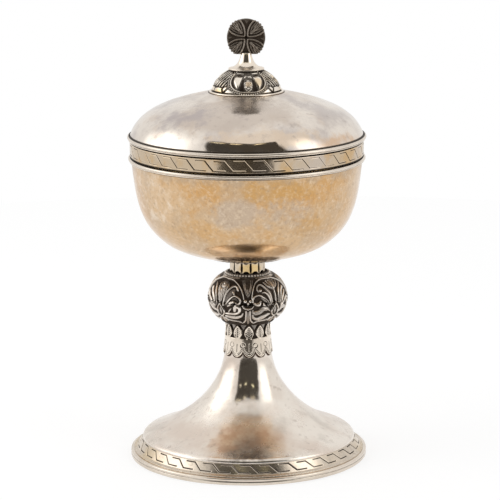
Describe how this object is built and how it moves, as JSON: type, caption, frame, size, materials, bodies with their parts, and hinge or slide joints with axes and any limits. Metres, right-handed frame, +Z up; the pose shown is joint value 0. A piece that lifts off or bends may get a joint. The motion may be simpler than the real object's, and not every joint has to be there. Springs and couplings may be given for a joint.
{
  "type": "ciborium",
  "caption": "Lidded liturgical cup on a knopped stem and round trumpet foot, hammered silver with engraved bands and a cross disc on the lid, which lifts off.",
  "frame": {"origin": "middle of the face that the foot stands on", "axes": "+Z up through the stem to the finial; -Y is the front, where the cross disc faces"},
  "size_m": [0.132, 0.132, 0.2453],
  "materials": {
    "silver_hammered": "hammered silver, satin sheen, light tarnish",
    "silver_polished": "polished silver",
    "tarnished_silver": "hammered, golden tan tarnish, satin sheen",
    "gilt_band": "engraved band with worn gilding",
    "silver_oxidised": "chased silver, dark oxidised ground, bright ridges",
    "plain_steel": "plain turned metal, out of sight"
  },
  "bodies": {
    "base": {"foot_rim_wire": "silver_hammered", "foot_band": "gilt_band", "foot_shell": "silver_hammered", "foot_washer": "plain_steel", "foot_nut": "plain_steel", "tie_rod": "plain_steel", "stem_sleeve": "silver_oxidised", "leaf_strip": "silver_polished", "knop_lower": "silver_oxidised", "knop_upper": "silver_oxidised", "knop_spacer": "plain_steel", "bead_ring": "silver_oxidised", "neck_collar": "gilt_band", "calyx_plate": "silver_oxidised", "bowl": "tarnished_silver", "bowl_wire": "silver_hammered", "bowl_lip": "gilt_band"},
    "lid": {"lid_band": "gilt_band", "lid_wire": "silver_hammered", "lid_dome": "silver_hammered", "boss": "silver_oxidised", "boss_wire": "silver_polished", "finial_neck": "silver_polished", "cross_disc": "silver_oxidised", "finial_stud": "plain_steel", "lid_washer": "plain_steel", "lid_nut": "plain_steel"}
  },
  "joints": [
    {"name": "lid_lift", "type": "slide", "parent": "base", "child": "lid", "axis": [0, 0, 1], "range_m": [0, 0.08]}
  ]
}
